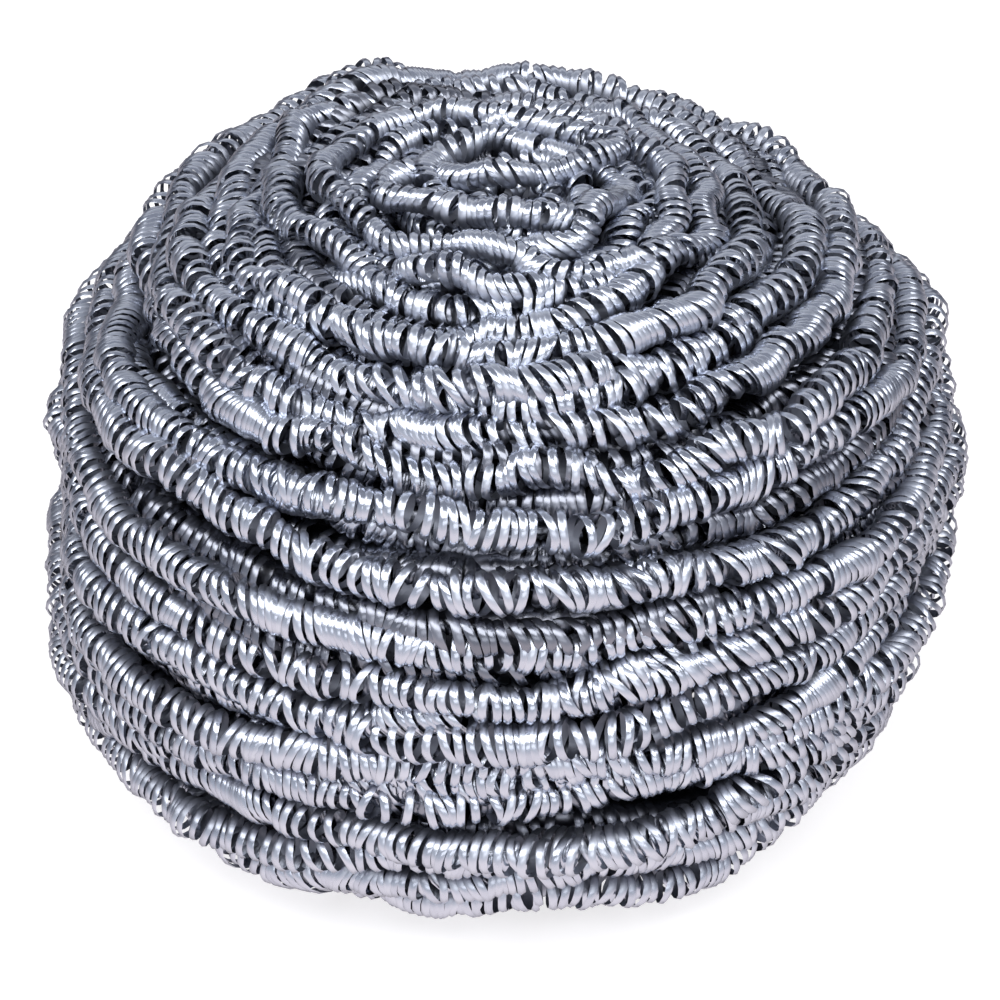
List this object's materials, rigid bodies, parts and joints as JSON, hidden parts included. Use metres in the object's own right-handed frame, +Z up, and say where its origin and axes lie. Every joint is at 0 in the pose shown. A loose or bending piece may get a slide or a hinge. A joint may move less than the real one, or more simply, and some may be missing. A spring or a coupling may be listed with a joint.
{
  "type": "stainless steel scourer",
  "caption": "Squat ball of springy coiled steel ribbon, wound round and round from a flattened underside to its crown, used by hand to scour pots and pans.",
  "frame": {"origin": "middle of the flattened underside, on the surface that the ball rests on", "axes": "+Z up through the crown along the axis that the strand is wound round, -Y towards the viewer of the picture, +X to the viewer's right"},
  "size_m": [0.09, 0.0904, 0.0641],
  "materials": {
    "stainless_ribbon": "bright rolled stainless ribbon, curled into a tight spring strand"
  },
  "bodies": {
    "root": {"scourer": "stainless_ribbon"}
  },
  "joints": []
}
